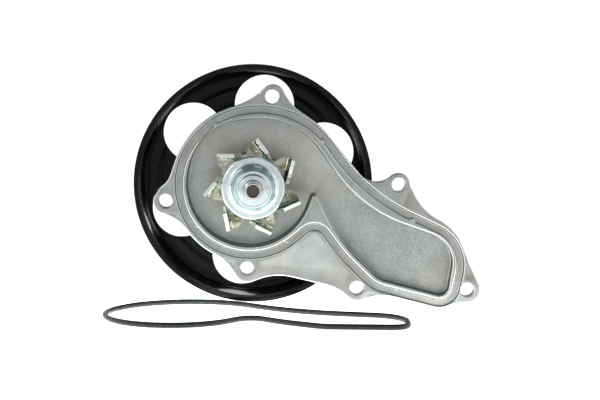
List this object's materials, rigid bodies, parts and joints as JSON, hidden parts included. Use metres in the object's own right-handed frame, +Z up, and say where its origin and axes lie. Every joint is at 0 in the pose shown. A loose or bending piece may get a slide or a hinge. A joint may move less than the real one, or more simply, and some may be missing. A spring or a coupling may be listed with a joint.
{
  "type": "water pump",
  "caption": "Belt-driven engine coolant pump: cast body with bolt ears, volute and outlet lobe, stamped impeller, pressed pulley and its loose moulded seal ring.",
  "frame": {"origin": "shaft axis in the face that bolts to the engine", "axes": "+X right and +Z up as seen from the engine, +Y along the shaft from the engine face towards the pulley"},
  "size_m": [0.186, 0.1239, 0.1211],
  "materials": {
    "cast_aluminium": "die-cast, matt grey",
    "ground_steel": "ground",
    "bright_zinc": "bright blue-white zinc plate",
    "yellow_zinc": "yellow zinc plate",
    "black_paint": "gloss black",
    "black_rubber": "moulded, satin",
    "carbon": "lapped carbon",
    "ceramic": "lapped ceramic",
    "cage_polymer": "moulded"
  },
  "bodies": {
    "housing": {"pump_housing": "cast_aluminium", "weep_hole_plug": "bright_zinc", "bearing_outer_ring": "ground_steel", "bearing_seal_front": "black_rubber", "bearing_seal_rear": "black_rubber", "seal_case": "ground_steel", "seal_bellows": "black_rubber", "seal_spring": "ground_steel", "seal_carbon_ring": "carbon"},
    "rotor": {"pump_shaft": "ground_steel", "impeller_vane_plate": "yellow_zinc", "impeller_hub_cup": "bright_zinc", "seal_mating_ring": "ceramic", "pulley_hub": "ground_steel", "pulley": "black_paint", "pulley_bolt_1": "bright_zinc", "pulley_bolt_2": "bright_zinc", "pulley_bolt_3": "bright_zinc", "pulley_bolt_4": "bright_zinc"},
    "front_balls": {"ball_cage_front": "cage_polymer", "ball_front_1": "ground_steel", "ball_front_2": "ground_steel", "ball_front_3": "ground_steel", "ball_front_4": "ground_steel", "ball_front_5": "ground_steel", "ball_front_6": "ground_steel", "ball_front_7": "ground_steel"},
    "rear_balls": {"ball_cage_rear": "cage_polymer", "ball_rear_1": "ground_steel", "ball_rear_2": "ground_steel", "ball_rear_3": "ground_steel", "ball_rear_4": "ground_steel", "ball_rear_5": "ground_steel", "ball_rear_6": "ground_steel", "ball_rear_7": "ground_steel"},
    "seal_ring": {"housing_seal_ring": "black_rubber"}
  },
  "joints": [
    {"name": "shaft_spin", "type": "hinge", "parent": "housing", "child": "rotor", "pos_m": [0, 0, 0], "axis": [0, 1, 0], "continuous": true},
    {"name": "front_balls_roll", "type": "hinge", "parent": "housing", "child": "front_balls", "pos_m": [0, 0.0285, 0], "axis": [0, 1, 0], "continuous": true},
    {"name": "rear_balls_roll", "type": "hinge", "parent": "housing", "child": "rear_balls", "pos_m": [0, 0.0395, 0], "axis": [0, 1, 0], "continuous": true},
    {"name": "seal_ring_slide", "type": "slide", "parent": "housing", "child": "seal_ring", "axis": [0, -1, 0], "range_m": [0, 0.12]}
  ],
  "couplings": [
    {"joint": "front_balls_roll", "follows": "shaft_spin", "ratio": 0.3576},
    {"joint": "rear_balls_roll", "follows": "shaft_spin", "ratio": 0.3576}
  ]
}
